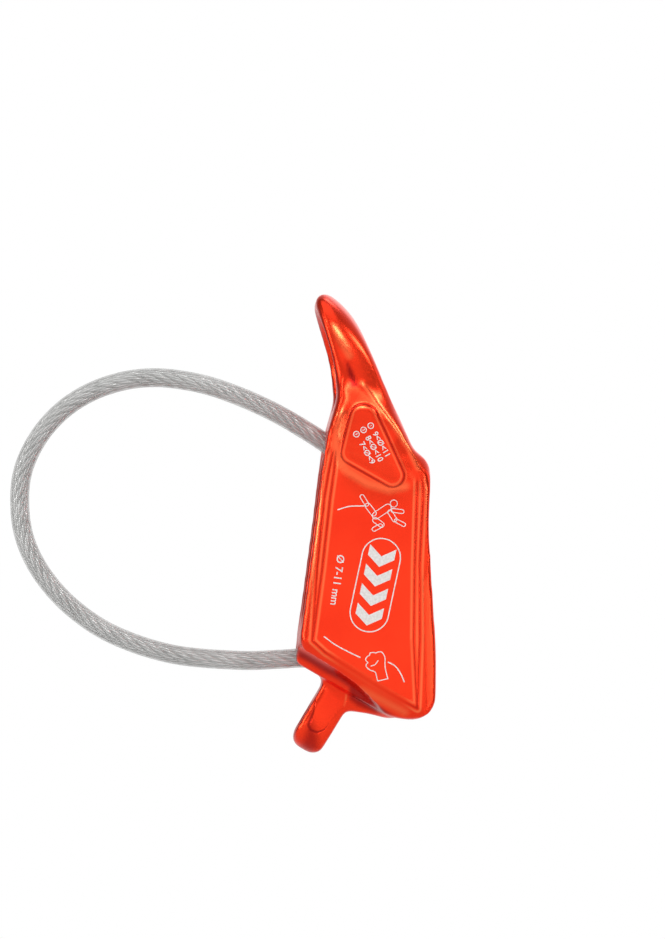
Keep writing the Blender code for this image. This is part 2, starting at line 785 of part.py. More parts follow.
def free_loop():
    """The loop's centreline between the throats, less the room that it needs to swing."""
    tail_up, loop, tail_low = cable_route()
    fine = smooth_route([tail_up[-1], *loop, tail_low[0]], FINE_STEP)
    first = min(range(len(fine)), key=lambda k: (fine[k] - loop[0]).length)
    last = min(range(len(fine)), key=lambda k: (fine[k] - loop[-1]).length)
    cut = round(SWING_SETBACK / FINE_STEP)
    inner = fine[first + cut:last - cut + 1]
    return smooth_route(inner[::LOOP_POINT_PARTS] + [inner[-1]], CABLE_STEP), fine[first:last + 1]


def ferrule(name, throat, fall, where):
    """A crimped sleeve: a turned tube with chamfered ends, round the bare end of the wire rope."""
    place, along = bore_line(throat, fall)
    inner = ROPE_DIAMETER / 2 + CRIMP_CLEARANCE
    outer = FERRULE_DIAMETER / 2
    profile = [
        (inner, FERRULE_LENGTH),
        (outer - FERRULE_CHAMFER, FERRULE_LENGTH),
        (outer, FERRULE_LENGTH - FERRULE_CHAMFER),
        (outer, FERRULE_CHAMFER),
        (outer - FERRULE_CHAMFER, 0.0),
        (inner, 0.0),
    ]
    mesh = bpy.data.meshes.new(name)
    shape = bmesh.new()
    corners = [shape.verts.new((radius, 0.0, height)) for radius, height in profile]
    for k, corner in enumerate(corners):
        shape.edges.new((corner, corners[(k + 1) % len(corners)]))
    shape.to_mesh(mesh)
    shape.free()
    made = add_object(name, mesh, where)
    turned = along.to_track_quat("Z", "Y").to_matrix().to_4x4()
    made.matrix_world = Matrix.Translation(place + along * (TAIL_LENGTH + SEAT_GAP)) @ turned
    turn = made.modifiers.new("turned", "SCREW")
    turn.axis = "Z"
    turn.angle = 2 * math.pi
    turn.steps = 24
    turn.render_steps = 24
    turn.use_merge_vertices = True
    turn.merge_threshold = 0.00001
    turn.use_smooth_shade = True
    return made


def build_body(parts, cutters, finish):
    body = side_blank(parts)
    body.name = "forged_body"
    body.data.name = "forged_body"
    body.data.materials.append(finish)
    boolean(body, as_cutter(front_blank(cutters)), "INTERSECT")
    for side in (-1, 1):
        boolean(body, as_cutter(field_cutter(side, cutters)), "DIFFERENCE")
        boolean(body, as_cutter(rim_cutter(side, -1, RIM_WIDTH_SPINE, cutters)), "DIFFERENCE")
        boolean(body, as_cutter(rim_cutter(side, 1, RIM_WIDTH_BRAKE, cutters)), "DIFFERENCE")
        boolean(body, as_cutter(dish_cutter(side, cutters)), "DIFFERENCE")
        boolean(body, as_cutter(pad_groove(side, cutters)), "DIFFERENCE")
        boolean(body, as_cutter(scoop_cutter(side, cutters)), "DIFFERENCE")
    for blank in lug(cutters):
        boolean(body, as_cutter(blank), "UNION")
    boolean(body, as_cutter(eye_cutter(cutters)), "DIFFERENCE")
    for side in (-1, 1):
        boolean(body, as_cutter(slot_cutter(side, cutters)), "DIFFERENCE")
        boolean(body, as_cutter(notch_cutter(side, cutters)), "DIFFERENCE")
    hole = bpy.data.meshes.new("release_hole")
    drill = bmesh.new()
    bmesh.ops.create_cone(
        drill,
        cap_ends=True,
        segments=HOLE_PARTS,
        radius1=LUG_HOLE / 2,
        radius2=LUG_HOLE / 2,
        depth=LUG_THICKNESS * 3,
    )
    drill.to_mesh(hole)
    drill.free()
    place = Matrix.Translation(rope_frame((LUG_CENTRE_U, 0, FOOT - LUG_DROP)))
    boolean(body, as_cutter(add_object("release_hole", hole, cutters, place @ FRONT_PLANE)), "DIFFERENCE")
    _, line = free_loop()
    reach = round(FUNNEL_LENGTH / FINE_STEP)
    upper_mouth = line[:reach:5]
    lower_mouth = line[:-reach:-5]
    for name, throat, fall, mouth in (
        ("upper_bore", UPPER_THROAT, UPPER_BORE_FALL, upper_mouth),
        ("lower_bore", LOWER_THROAT, LOWER_BORE_FALL, lower_mouth),
    ):
        boolean(body, as_cutter(bore_cutter(name, throat, fall, mouth, cutters)), "DIFFERENCE")
    return body


def build_cable(parts, cutters, steel, plastic, crimp):
    tail_up, loop, tail_low = cable_route()
    inner, _ = free_loop()
    rope = tube_object("keeper_loop_rope", inner, ROPE_DIAMETER / 2, parts)
    rope.data.materials.append(steel)
    sheath = tube_object("keeper_loop_sheath", inner, CABLE_DIAMETER / 2, parts)
    sheath.data.materials.append(plastic)
    bore = tube_object("sheath_bore", stretched(inner, MM), ROPE_DIAMETER / 2 + SHEATH_CLEARANCE, cutters)
    boolean(sheath, as_cutter(bore), "DIFFERENCE")
    for name, throat, fall in (
        ("upper", UPPER_THROAT, UPPER_BORE_FALL),
        ("lower", LOWER_THROAT, LOWER_BORE_FALL),
    ):
        place, along = bore_line(throat, fall)
        start = place + along * SWING_GAP
        seat = place + along * TAIL_LENGTH
        end = place + along * (TAIL_LENGTH + SEAT_GAP + FERRULE_LENGTH)
        bare = tube_object(f"{name}_rope_end", [start, seat, end], ROPE_DIAMETER / 2, parts)
        bare.data.materials.append(steel)
        cover = tube_object(f"{name}_sheath_end", [start, seat], CABLE_DIAMETER / 2, parts)
        cover.data.materials.append(plastic)
        hollow = tube_object(
            f"{name}_sheath_bore", stretched([start, seat], MM), ROPE_DIAMETER / 2 + SHEATH_CLEARANCE, cutters
        )
        boolean(cover, as_cutter(hollow), "DIFFERENCE")
        ferrule(f"{name}_ferrule", throat, fall, parts).data.materials.append(crimp)
    pivot = bpy.data.objects.new("keeper_swing_axis", None)
    parts.objects.link(pivot)
    middle = (Vector(UPPER_THROAT) + Vector(LOWER_THROAT)) / 2
    pivot.location = middle
    bpy.context.view_layer.update()
    for piece in (rope, sheath):
        piece.parent = pivot
        piece.matrix_parent_inverse = pivot.matrix_world.inverted()


clear_scene()
device = collection("guide_mode_belay_device")
shapes = collection("cutters")
anodised = material("anodised_aluminium", (0.80, 0.055, 0.012), 0.75, 0.34)
wire = material("galvanised_wire_rope", (0.62, 0.63, 0.64), 1.0, 0.35)
clear_plastic = material("clear_sheath", (0.62, 0.62, 0.60), 0.0, 0.28, alpha=0.6)
crimped = material("crimped_steel", (0.55, 0.56, 0.57), 1.0, 0.30)
build_body(device, shapes, anodised)
build_cable(device, shapes, wire, clear_plastic, crimped)
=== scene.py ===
"""A guide mode belay device: one forged and anodised body, and a keeper loop of sheathed wire rope."""

import math

import bmesh
import bpy
import numpy as np
from mathutils import Matrix, Vector
from mathutils.bvhtree import BVHTree


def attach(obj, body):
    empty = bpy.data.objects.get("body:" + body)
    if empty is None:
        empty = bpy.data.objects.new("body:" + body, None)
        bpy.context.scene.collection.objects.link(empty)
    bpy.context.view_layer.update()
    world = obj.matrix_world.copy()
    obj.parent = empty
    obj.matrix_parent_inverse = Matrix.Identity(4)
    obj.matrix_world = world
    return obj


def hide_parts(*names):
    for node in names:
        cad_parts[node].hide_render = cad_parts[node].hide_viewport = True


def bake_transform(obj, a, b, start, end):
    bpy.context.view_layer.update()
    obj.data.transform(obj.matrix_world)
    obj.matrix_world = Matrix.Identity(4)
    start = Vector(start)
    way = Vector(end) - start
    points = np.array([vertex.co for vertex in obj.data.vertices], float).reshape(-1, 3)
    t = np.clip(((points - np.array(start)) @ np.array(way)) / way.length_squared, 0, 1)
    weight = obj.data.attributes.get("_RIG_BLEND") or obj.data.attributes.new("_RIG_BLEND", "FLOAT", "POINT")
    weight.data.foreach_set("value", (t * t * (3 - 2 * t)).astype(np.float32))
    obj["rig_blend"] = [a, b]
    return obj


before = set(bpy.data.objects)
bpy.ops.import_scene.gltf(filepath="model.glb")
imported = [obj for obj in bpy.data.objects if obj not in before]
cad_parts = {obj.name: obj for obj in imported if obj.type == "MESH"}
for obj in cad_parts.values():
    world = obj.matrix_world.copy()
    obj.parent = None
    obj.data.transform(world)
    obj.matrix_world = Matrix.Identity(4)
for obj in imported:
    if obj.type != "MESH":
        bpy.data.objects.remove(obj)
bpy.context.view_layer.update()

# Camera: a long lens square to the near plate, a little left of it and a little below it.
camera = bpy.data.objects.new("camera", bpy.data.cameras.new("camera"))
bpy.context.scene.collection.objects.link(camera)
azimuth = math.radians(1.5)
elevation = math.radians(-1.5)
camera_away = 0.85
camera_aim = Vector((-0.005, -0.0165, -0.015526))
picture_height = 939 / 5700
looking = Vector((
    math.sin(azimuth) * math.cos(elevation),
    math.cos(azimuth) * math.cos(elevation),
    -math.sin(elevation),
))
camera.location = camera_aim - looking * camera_away
camera.rotation_euler = looking.to_track_quat("-Z", "Y").to_euler()
camera.data.sensor_fit = "VERTICAL"
camera.data.sensor_height = 24.0
camera.data.lens = camera.data.sensor_height * camera_away / picture_height
camera.data.clip_start = 0.05
camera.data.clip_end = 20.0
bpy.context.scene.camera = camera
bpy.context.scene.view_settings.view_transform = "Standard"

# Keeper wire rope: six strands of fine galvanised steel wires, laid round a core. Both ends go down blind
# bores in the forging, and the free loop stands out in one stiff bow behind the spine edge. It sways sideways
# a little about its two exits.
route_step = 0.0005
bore_length = 0.003
upper_exit = Vector((-0.0045, 0.0, -0.0113))
lower_exit = Vector((-0.0055, 0.0, -0.0494))
upper_bore = Vector((math.cos(math.radians(31)), 0.0, -math.sin(math.radians(31))))
lower_bore = Vector((math.cos(math.radians(20)), 0.0, -math.sin(math.radians(20))))
loop_corners = [
    (-0.0073, -0.0094), (-0.0110, -0.0071), (-0.0149, -0.0049), (-0.0203, -0.0024), (-0.0261, -0.0003),
    (-0.0316, 0.0009), (-0.0369, 0.0013), (-0.0424, 0.0006), (-0.0480, -0.0014), (-0.0530, -0.0047),
    (-0.0571, -0.0094), (-0.0598, -0.0152), (-0.06042, -0.0212), (-0.0595, -0.0275), (-0.0564, -0.0338),
    (-0.0510, -0.0398), (-0.0435, -0.0447), (-0.0331, -0.0481), (-0.0213, -0.0492), (-0.0140, -0.0490),
    (-0.0098, -0.0488),
]


def smooth_route(corners, step, parts=40):
    """Points a step apart along a smooth curve through the corners."""
    ends = [2 * corners[0] - corners[1], *corners, 2 * corners[-1] - corners[-2]]
    fine = []
    for a, b, c, d in zip(ends, ends[1:], ends[2:], ends[3:]):
        for i in range(parts):
            t = i / parts
            fine.append(0.5 * (2 * b + (c - a) * t + (2 * a - 5 * b + 4 * c - d) * t ** 2
                               + (3 * b - a - 3 * c + d) * t ** 3))
    fine = np.array([*fine, corners[-1]])
    along = np.concatenate([[0], np.cumsum(np.linalg.norm(np.diff(fine, axis=0), axis=1))])
    wanted = np.linspace(0, along[-1], max(2, round(along[-1] / step)) + 1)
    return np.stack([np.interp(wanted, along, fine[:, axis]) for axis in range(3)], axis=1)


def tube(name, centres, radius, sides):
    """A closed tube round the centres. Its UV map goes once round the tube, and in millimetres along it."""
    ahead = np.gradient(centres, axis=0)
    ahead /= np.linalg.norm(ahead, axis=1)[:, None]
    across = np.cross(ahead, [0.0, 1.0, 0.0])
    across /= np.linalg.norm(across, axis=1)[:, None]
    side = np.cross(across, ahead)
    turn = np.linspace(0, 2 * math.pi, sides, endpoint=False)
    rings = centres[:, None] + radius * (
        np.cos(turn)[None, :, None] * side[:, None] + np.sin(turn)[None, :, None] * across[:, None]
    )
    along = np.concatenate([[0], np.cumsum(np.linalg.norm(np.diff(centres, axis=0), axis=1))]) * 1000
    count = len(centres)
    faces = []
    corners = []
    for i in range(count - 1):
        for k in range(sides):
            after = (k + 1) % sides
            faces.append((i * sides + k, i * sides + after, (i + 1) * sides + after, (i + 1) * sides + k))
            corners += [(k / sides, along[i]), ((k + 1) / sides, along[i]),
                        ((k + 1) / sides, along[i + 1]), (k / sides, along[i + 1])]
    for i, order in ((0, range(sides - 1, -1, -1)), (count - 1, range(sides))):
        faces.append(tuple(i * sides + k for k in order))
        corners += [(k / sides, along[i]) for k in order]
    mesh = bpy.data.meshes.new(name)
    mesh.from_pydata(rings.reshape(-1, 3).tolist(), [], faces)
    chart = mesh.uv_layers.new(name="wrap")
    chart.data.foreach_set("uv", np.array(corners, dtype=np.float32).ravel())
    mesh.shade_smooth()
    shape = bmesh.new()
    shape.from_mesh(mesh)
    bmesh.ops.recalc_face_normals(shape, faces=shape.faces)
    shape.to_mesh(mesh)
    shape.free()
    made = bpy.data.objects.new(name, mesh)
    bpy.context.scene.collection.objects.link(made)
    return made


def new_material(name):
    """A new material, its nodes, its links and its Principled shader."""
    made = bpy.data.materials.new(name)
    made.use_nodes = True
    tree = made.node_tree
    return made, tree.nodes, tree.links, tree.nodes["Principled BSDF"]


def calculated(operation, *values):
    """A Math node of the present material, over sockets and plain numbers."""
    step = nodes.new("ShaderNodeMath")
    step.operation = operation
    for socket, value in zip(step.inputs, values):
        if isinstance(value, (int, float)):
            socket.default_value = value
        else:
            links.new(value, socket)
    return step.outputs[0]


def scaled(value, start, end, low=0.0, high=1.0, smooth=False):
    """A value that runs from start to end while the given one runs from low to high."""
    step = nodes.new("ShaderNodeMapRange")
    step.interpolation_type = "SMOOTHSTEP" if smooth else "LINEAR"
    for name, number in (("From Min", low), ("From Max", high), ("To Min", start), ("To Max", end)):
        step.inputs[name].default_value = number
    links.new(value, step.inputs["Value"])
    return step.outputs["Result"]


def raised(height, strength, distance):
    """A Bump node of the present material."""
    step = nodes.new("ShaderNodeBump")
    step.inputs["Strength"].default_value = strength
    step.inputs["Distance"].default_value = distance
    links.new(height, step.inputs["Height"])
    return step


loop_places = [Vector((x, 0.0, z)) for x, z in loop_corners]
cable_corners = [
    *[upper_exit + upper_bore * bore_length * share for share in (1.0, 0.5, 0.0)], *loop_places,
    *[lower_exit + lower_bore * bore_length * share for share in (0.0, 0.5, 1.0)],
]
cable_route = smooth_route([np.array(place) for place in cable_corners], route_step)

strand_count = 6
strand_radius = 0.00048
strand_offset = 0.00098
strand_sides = 8
lay_length = 0.0145
route_ahead = np.gradient(cable_route, axis=0)
route_ahead /= np.linalg.norm(route_ahead, axis=1)[:, None]
route_up = np.cross(route_ahead, [0.0, 1.0, 0.0])
route_run = np.concatenate([[0], np.cumsum(np.linalg.norm(np.diff(cable_route, axis=0), axis=1))])
strands = []
for k in range(strand_count):
    turned = 2 * math.pi * (route_run / lay_length + k / strand_count)
    helix = cable_route + strand_offset * (
        np.cos(turned)[:, None] * np.array([0.0, 1.0, 0.0]) + np.sin(turned)[:, None] * route_up
    )
    strands.append(tube(f"strand_{k}", helix, strand_radius, strand_sides))
strands.append(tube("strand_core", cable_route[::2], strand_radius * 1.1, strand_sides))
bpy.ops.object.select_all(action="DESELECT")
for strand in strands:
    strand.select_set(True)
wire_rope = strands[0]
bpy.context.view_layer.objects.active = wire_rope
bpy.ops.object.join()
wire_rope.name = "keeper_wire_rope"
wire_rope.data.name = "keeper_wire_rope"

wires_round = 6.0
wires_per_millimetre = 0.62
wire, nodes, links, shader = new_material("galvanised wire rope")
shader.inputs["Metallic"].default_value = 0.85
wrap = nodes.new("ShaderNodeUVMap")
wrap.uv_map = "wrap"
split = nodes.new("ShaderNodeSeparateXYZ")
links.new(wrap.outputs["UV"], split.inputs[0])
wires_passed = calculated("MULTIPLY", split.outputs["X"], wires_round)
wire_lay = calculated("MULTIPLY_ADD", split.outputs["Y"], wires_per_millimetre, wires_passed)
crest = calculated("PINGPONG", wire_lay, 0.5)
# Painted shade and highlight: the wires' colour runs from dark grey in the grooves between them to pale on
# their crests.
wire_shade_and_highlight = nodes.new("ShaderNodeValToRGB")
wire_shade_and_highlight.color_ramp.elements[0].position = 0.03
wire_shade_and_highlight.color_ramp.elements[0].color = (0.20, 0.20, 0.20, 1)
wire_shade_and_highlight.color_ramp.elements[1].position = 0.42
wire_shade_and_highlight.color_ramp.elements[1].color = (0.92, 0.92, 0.91, 1)
links.new(crest, wire_shade_and_highlight.inputs["Fac"])
links.new(wire_shade_and_highlight.outputs["Color"], shader.inputs["Base Color"])
links.new(scaled(crest, 0.55, 0.30, high=0.5), shader.inputs["Roughness"])
links.new(raised(crest, 0.8, 0.00012).outputs["Normal"], shader.inputs["Normal"])
wire_rope.data.materials.append(wire)
sway_start = (-0.005, 0.0, -0.03035)
sway_end = (-0.014, 0.0, -0.03035)
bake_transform(wire_rope, "device", "keeper", start=sway_start, end=sway_end)
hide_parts("keeper_loop_rope", "upper_rope_end", "lower_rope_end")

# Keeper sheath: a clear grey plastic tube, pressed over the whole length of the wire rope. It keeps the wires
# off the fingers and stiffens the loop, and the laid strands show through it.
cable_radius = 0.0017
sheath_sides = 28


def mottle_group():
    """Cloudy spots between a dark and a light colour, which the finishes have in sizes of their own."""
    group = bpy.data.node_groups.new("mottle", "ShaderNodeTree")
    for name in ("Scale", "Detail", "Low", "High"):
        group.interface.new_socket(name=name, in_out="INPUT", socket_type="NodeSocketFloat")
    for name in ("Dark", "Light"):
        group.interface.new_socket(name=name, in_out="INPUT", socket_type="NodeSocketColor")
    group.interface.new_socket(name="Color", in_out="OUTPUT", socket_type="NodeSocketColor")
    group.interface.new_socket(name="Share", in_out="OUTPUT", socket_type="NodeSocketFloat")
    given = group.nodes.new("NodeGroupInput")
    result = group.nodes.new("NodeGroupOutput")
    place = group.nodes.new("ShaderNodeTexCoord")
    cloud = group.nodes.new("ShaderNodeTexNoise")
    share = group.nodes.new("ShaderNodeMapRange")
    mix = group.nodes.new("ShaderNodeMix")
    mix.data_type = "RGBA"
    for start, end in (
        (place.outputs["Object"], cloud.inputs["Vector"]),
        (given.outputs["Scale"], cloud.inputs["Scale"]),
        (given.outputs["Detail"], cloud.inputs["Detail"]),
        (cloud.outputs["Fac"], share.inputs["Value"]),
        (given.outputs["Low"], share.inputs["From Min"]),
        (given.outputs["High"], share.inputs["From Max"]),
        (share.outputs["Result"], mix.inputs["Factor"]),
        (given.outputs["Dark"], mix.inputs["A"]),
        (given.outputs["Light"], mix.inputs["B"]),
        (mix.outputs["Result"], result.inputs["Color"]),
        (cloud.outputs["Fac"], result.inputs["Share"]),
    ):
        group.links.new(start, end)
    return group


mottle = mottle_group()


def mottled(scale, detail, low=0.0, high=1.0, dark=(0, 0, 0), light=(1, 1, 1)):
    """The mottle, placed in the present material with its own values."""
    spots = nodes.new("ShaderNodeGroup")
    spots.node_tree = mottle
    for name, value in (("Scale", scale), ("Detail", detail), ("Low", low), ("High", high)):
        spots.inputs[name].default_value = value
    spots.inputs["Dark"].default_value = (*dark, 1)
    spots.inputs["Light"].default_value = (*light, 1)
    return spots.outputs


sheath = tube("keeper_sheath", cable_route, cable_radius, sheath_sides)
clear_plastic, nodes, links, shader = new_material("clear grey sheath")
shader.inputs["Alpha"].default_value = 0.46
haze = mottled(420.0, 4.0, 0.3, 0.75, (0.42, 0.42, 0.41), (0.60, 0.60, 0.59))
links.new(haze["Color"], shader.inputs["Base Color"])
links.new(scaled(haze["Share"], 0.22, 0.42), shader.inputs["Roughness"])
sheath.data.materials.append(clear_plastic)
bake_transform(sheath, "device", "keeper", start=sway_start, end=sway_end)
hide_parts("keeper_loop_sheath", "upper_sheath_end", "lower_sheath_end")

# Crimp ferrules: two plain steel sleeves, crimped on the rope's ends and pressed into the forging. They sit
# out of sight at the bottom of their blind bores, where they hold the cable.
crimped, nodes, links, shader = new_material("crimped steel")
shader.inputs["Metallic"].default_value = 1.0
shader.inputs["Roughness"].default_value = 0.36
steel = mottled(900.0, 5.0, 0.0, 1.0, (0.42, 0.43, 0.44), (0.64, 0.65, 0.66))
links.new(steel["Color"], shader.inputs["Base Color"])
for name in ("upper_ferrule", "lower_ferrule"):
    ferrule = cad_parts[name]
    ferrule.data.materials.clear()
    ferrule.data.materials.append(crimped)

# Forged body: one hot forging of aluminium, trimmed, drilled for the cable, tumbled to a satin skin and
# anodised orange-red. Its edges are soft, and fine grooves frame the flat field and the marking pad of each
# side plate.
rope_tilt = math.radians(31)
skin_step = 0.00042
lug_half = 0.0062
plate_inside = 0.0105
plate_face = 0.0125
no_line_near = 0.009
side_corners = [
    (-1.7, 14.3, 7.0), (9.4, -12.0, 1.5), (12.45, -14.1, 3.4), (11.9, -26.3, 25.0), (13.4, -48.0, 30.0),
    (13.1, -60.15, 4.2), (5.2, -59.05, 4.0), (-11.3, -49.45, 1.3), (-10.8, -45.8, 3.0), (-5.9, -9.0, 5.0),
    (-4.0, -2.3, 4.0), (-5.0, 4.5, 18.0), (-9.1, 18.5, 2.0),
]


def rounded_outline(corners):
    """A closed outline whose corners (x, z, radius) are arcs, in metres."""
    outline = []
    for k, (x, z, radius) in enumerate(corners):
        corner = Vector((x, z))
        back = (Vector(corners[k - 1][:2]) - corner).normalized()
        ahead = (Vector(corners[(k + 1) % len(corners)][:2]) - corner).normalized()
        half = back.angle(ahead) / 2
        centre = corner + (back + ahead).normalized() * radius / math.sin(half)
        start = corner + back * radius / math.tan(half) - centre
        turn = start.angle_signed(corner + ahead * radius / math.tan(half) - centre)
        steps = max(1, round(abs(turn) / math.radians(8)))
        for i in range(steps + 1):
            outline.append(centre + Matrix.Rotation(-turn * i / steps, 2) @ start)
    return np.array([tuple(point) for point in outline]) / 1000


def distance_to(places, line, closed=False):
    """How far each (x, z) lies from a drawn line."""
    ends = np.vstack([line, line[:1]]) if closed else np.asarray(line)
    nearest = np.full(len(places), 9.0)
    for a, b in zip(ends, ends[1:]):
        run = b - a
        share = np.clip(((places - a) @ run) / max(run @ run, 1e-12), 0, 1)
        nearest = np.minimum(nearest, np.linalg.norm(places - a - share[:, None] * run, axis=1))
    return nearest


def inside(places, outline):
    """True where (x, z) lies inside a closed outline."""
    within = np.zeros(len(places), dtype=bool)
    for (ax, az), (bx, bz) in zip(outline, np.roll(outline, -1, axis=0)):
        crosses = (az > places[:, 1]) != (bz > places[:, 1])
        with np.errstate(divide="ignore", invalid="ignore"):
            reach = ax + (places[:, 1] - az) * (bx - ax) / (bz - az)
        within ^= crosses & (places[:, 0] < reach)
    return within


def ramp(value, low, high):
    """0 up to low, 1 from high on, and a smooth rise between them."""
    share = np.clip((value - low) / (high - low), 0, 1)
    return share * share * (3 - 2 * share)


body = bpy.data.objects.new("forged_body_skin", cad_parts["forged_body"].data.copy())
bpy.context.scene.collection.objects.link(body)
shape = bmesh.new()
shape.from_mesh(body.data)
bmesh.ops.remove_doubles(shape, verts=shape.verts, dist=0.000001)
shape.to_mesh(body.data)
shape.free()
shape_attributes = ("position", ".edge_verts", ".corner_vert", ".corner_edge", "material_index")
for old in list(body.data.attributes):
    if old.name not in shape_attributes and not old.is_required:
        body.data.attributes.remove(old)
bpy.ops.object.select_all(action="DESELECT")
body.select_set(True)
bpy.context.view_layer.objects.active = body
skin = body.modifiers.new("skin", "REMESH")
skin.mode = "VOXEL"
skin.voxel_size = skin_step
bpy.ops.object.modifier_apply(modifier=skin.name)


def in_metres(points):
    """(x, z) points drawn in millimetres."""
    return np.array(points) / 1000


def body_places():
    """Where the skin's vertices are."""
    places = np.empty(len(body.data.vertices) * 3)
    body.data.vertices.foreach_get("co", places)
    return places.reshape(-1, 3)


def set_places(places):
    """Moves the skin's vertices to these places."""
    body.data.vertices.foreach_set("co", places.ravel())
    body.data.update()


def relaxed(places, rounds, weight, pulls=(0.55, -0.30), along=(1.0, 1.0, 1.0)):
    """The places smoothed over the skin; a second pull undoes most of the first one's shrinking."""
    edges = np.empty(len(body.data.edges) * 2, dtype=np.int64)
    body.data.edges.foreach_get("vertices", edges)
    a, b = edges[::2], edges[1::2]
    count = np.bincount(np.concatenate([a, b]), minlength=len(places)).astype(float)[:, None]
    for _ in range(rounds):
        for pull in pulls:
            total = np.stack([
                np.bincount(a, weights=places[b, axis], minlength=len(places))
                + np.bincount(b, weights=places[a, axis], minlength=len(places))
                for axis in range(3)
            ], axis=1)
            places = places + (total / count - places) * pull * weight[:, None] * np.array(along)
    return places


# The whole skin loses the steps of its voxels, and the ear, with its long slopes, is smoothed again.
across_plates = (0.0, 1.0, 0.0)
within_plates = (1.0, 0.0, 1.0)
places = body_places()
height = places[:, 0] * math.sin(rope_tilt) + places[:, 2] * math.cos(rope_tilt)
places = relaxed(places, 12, 0.35 + 0.65 * ramp(height, -0.018, -0.012))
places = relaxed(places, 20, ramp(height, -0.006, 0.002))

# The plates' outer faces are smoothed in depth, their edge faces and the spine in outline, and the lug all
# round.
side_outline = rounded_outline(side_corners)
flat = places[:, [0, 2]]
outline_gap = distance_to(flat, side_outline, closed=True)
plate = ramp(outline_gap * inside(flat, side_outline), 0.0006, 0.0020)
plate *= ramp(np.abs(places[:, 1]), 0.007, plate_inside)
places = relaxed(places, 40, plate * ramp(height, -0.0245, -0.020), pulls=(0.6,), along=across_plates)
places = relaxed(places, 60, plate * ramp(height, -0.008, -0.001), pulls=(0.6,), along=across_plates)
edge_face = ramp(0.0011 - outline_gap, 0.0, 0.0004)
edge_face *= ramp(np.abs(places[:, 1]), 0.0115, plate_face) * ramp(0.0161 - np.abs(places[:, 1]), 0.0, 0.0008)
places = relaxed(places, 30, edge_face, along=within_plates)
spine_face = ramp(0.0022 - outline_gap, 0.0, 0.0008) * (flat[:, 0] < -0.003)
spine_face *= ramp(0.0172 - np.abs(places[:, 1]), 0.0, 0.0004) * ramp(-flat[:, 1], 0.010, 0.012)
places = relaxed(places, 12, spine_face, pulls=(0.55, -0.56), along=within_plates)
lug_skin = ramp(-flat[:, 1], 0.0525, 0.0550) * (np.abs(places[:, 1]) < lug_half)
places = relaxed(places, 24, lug_skin)

# The shoulders' corners and the ear's root are softest.
soft = np.zeros(len(places))
for x, z, reach in ((-3.9, -7.6, 1.9), (10.5, -15.0, 2.2), (2.6, -0.6, 2.8), (-2.6, 0.6, 2.2)):
    millimetres_off = np.linalg.norm(flat - in_metres([x, z]), axis=1) * 1000
    soft = np.maximum(soft, np.exp(-(millimetres_off / reach) ** 2))
places = relaxed(places, 14, soft * (np.abs(places[:, 1]) > 0.008), pulls=(0.5,))
ear_root = np.exp(-(distance_to(flat, in_metres([(-3.4, -3.2), (-3.9, -9.6)])) / 0.0012) ** 2)
places = relaxed(places, 45, ear_root * (np.abs(places[:, 1]) > 0.0095), pulls=(0.5,))
set_places(places)

# Relief of the side plates: a flat marking pad inside a groove, and borders that meet in a crease over the
# lower band; the ribs beside the borders are a painted highlight in the finish. The grooves are closed loops,
# which fade out where they pass the pad. The outlines here also place painted shade: in a pocket where the
# ear's two ridges part, in the hollow under the lower band and on the lug's tip.
pad_outline = rounded_outline([(-0.1, 1.15, 2.5), (9.9, -21.4, 2.05), (-3.85, -13.6, 2.2)])
crease = [(-8.5, -45.6), (-6.3, -47.6), (-1.6, -50.6), (4.2, -54.3), (9.9, -57.5)]
inner_border = in_metres([
    (-4.4, -11.2), (-4.7, -15.5), (-5.45, -20.9), (-6.8, -33.0), *crease, (9.3, -45.4), (9.45, -32.5),
    (9.8, -20.9), (9.95, -15.2),
])
outer_border = in_metres([
    (-4.7, -11.0), (-5.6, -15.5), (-6.45, -20.5), (-7.7, -32.5), *crease, (10.35, -45.4), (10.3, -32.5),
    (10.85, -21.3), (10.9, -18.5), (10.2, -15.2),
])
lug_face = in_metres([
    (-6.4, -51.0), (-7.4, -55.3), (-8.1, -58.2), (-9.0, -60.6), (-8.6, -61.5), (-7.4, -61.9), (-6.1, -61.4),
    (-5.2, -60.1), (-3.9, -58.6), (-2.3, -57.0), (-1.9, -54.6), (-1.8, -51.0),
])
scoop_shade = in_metres([
    (-11.2, -46.7), (-8.6, -48.0), (-6.2, -49.5), (-2.3, -51.6), (-0.2, -53.2), (1.9, -55.3), (4.2, -57.3),
    (6.2, -58.6), (2.8, -58.6), (-0.3, -57.4), (-1.8, -56.2), (-2.0, -53.9), (-3.5, -52.8), (-6.2, -51.4),
    (-8.6, -49.9), (-11.0, -48.6),
])
lug_shade = in_metres([
    (-8.5, -58.5), (-8.0, -61.1), (-7.3, -62.9), (-7.2, -64.8), (-8.9, -65.6), (-10.3, -64.6), (-9.7, -62.9),
    (-9.1, -61.2),
])
pocket = in_metres([(-2.7, 3.9), (-2.2, 1.6), (-1.7, -0.9), (-0.1, -0.9), (-0.9, 1.0), (-1.9, 3.2)])


def signed_gap(flat, loop):
    """How far each place lies inside a closed loop; outside it the distance is below nothing."""
    return distance_to(flat, loop, closed=True) * np.where(inside(flat, loop), 1, -1)


def raise_along(places, line, rise, spread):
    """Raises the two side plates along a line drawn on them."""
    near = np.exp(-(distance_to(places[:, [0, 2]], line) / spread) ** 2)
    near *= np.abs(places[:, 1]) > plate_inside
    places[:, 1] += np.sign(places[:, 1]) * rise * near


